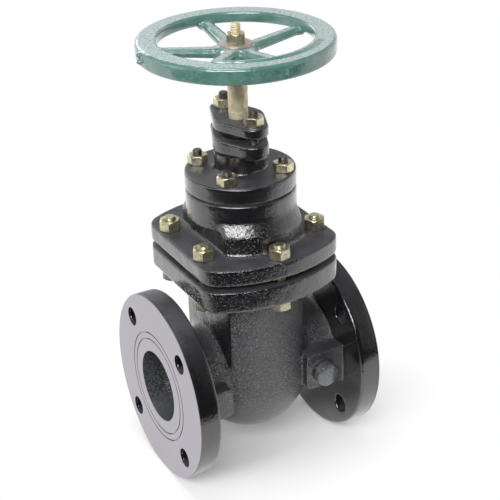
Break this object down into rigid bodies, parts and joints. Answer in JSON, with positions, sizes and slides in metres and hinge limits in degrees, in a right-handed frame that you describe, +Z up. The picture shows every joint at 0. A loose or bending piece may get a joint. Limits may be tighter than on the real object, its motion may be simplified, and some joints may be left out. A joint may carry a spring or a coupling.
{
  "type": "flanged gate valve",
  "caption": "Flanged iron gate valve with a non-rising stem: bolted bonnet, stuffing box, gland and a spoked handwheel that lifts a tapered gate out of the port.",
  "frame": {"origin": "centre of the inlet flange's face, on the flow line", "axes": "+X with the flow to the outlet flange, +Z up the stem to the handwheel, +Y across the pipe"},
  "size_m": [0.2032, 0.1904, 0.4558],
  "materials": {
    "black_enamel_iron": "glossy black enamel over sand-cast iron",
    "bare_iron": "bare cast iron",
    "bronze": "turned bronze",
    "gasket": "compressed fibre sheet",
    "zinc_steel": "yellow zinc plated",
    "dark_steel": "dark oiled steel",
    "brass_stem": "turned brass",
    "plain_washer": "passivated steel washer",
    "green_enamel": "glossy teal-green enamel over cast iron"
  },
  "bodies": {
    "valve": {"body": "black_enamel_iron", "inlet_seat_ring": "bronze", "outlet_seat_ring": "bronze", "bonnet_gasket": "gasket", "bonnet": "black_enamel_iron", "bonnet_bolts": "zinc_steel", "bonnet_nuts": "zinc_steel", "stuffing_box_gasket": "gasket", "stuffing_box": "black_enamel_iron", "stuffing_box_studs": "dark_steel", "stuffing_box_nuts": "zinc_steel", "packing": "gasket", "gland": "black_enamel_iron", "gland_studs": "dark_steel", "gland_nuts": "zinc_steel"},
    "spindle": {"stem": "brass_stem", "handwheel": "green_enamel", "handwheel_washer": "plain_washer", "handwheel_nut": "brass_stem"},
    "gate": {"wedge": "bare_iron", "wedge_rings": "bronze", "wedge_nut": "bronze"}
  },
  "joints": [
    {"name": "handwheel_turn", "type": "hinge", "parent": "valve", "child": "spindle", "pos_m": [0.1016, 0, 0], "axis": [0, 0, 1], "range_deg": [0, 5616]},
    {"name": "gate_lift", "type": "slide", "parent": "valve", "child": "gate", "axis": [0, 0, 1], "range_m": [0, 0.0781]}
  ],
  "couplings": [
    {"joint": "gate_lift", "follows": "handwheel_turn", "m_per_rad": 0.00079577}
  ]
}
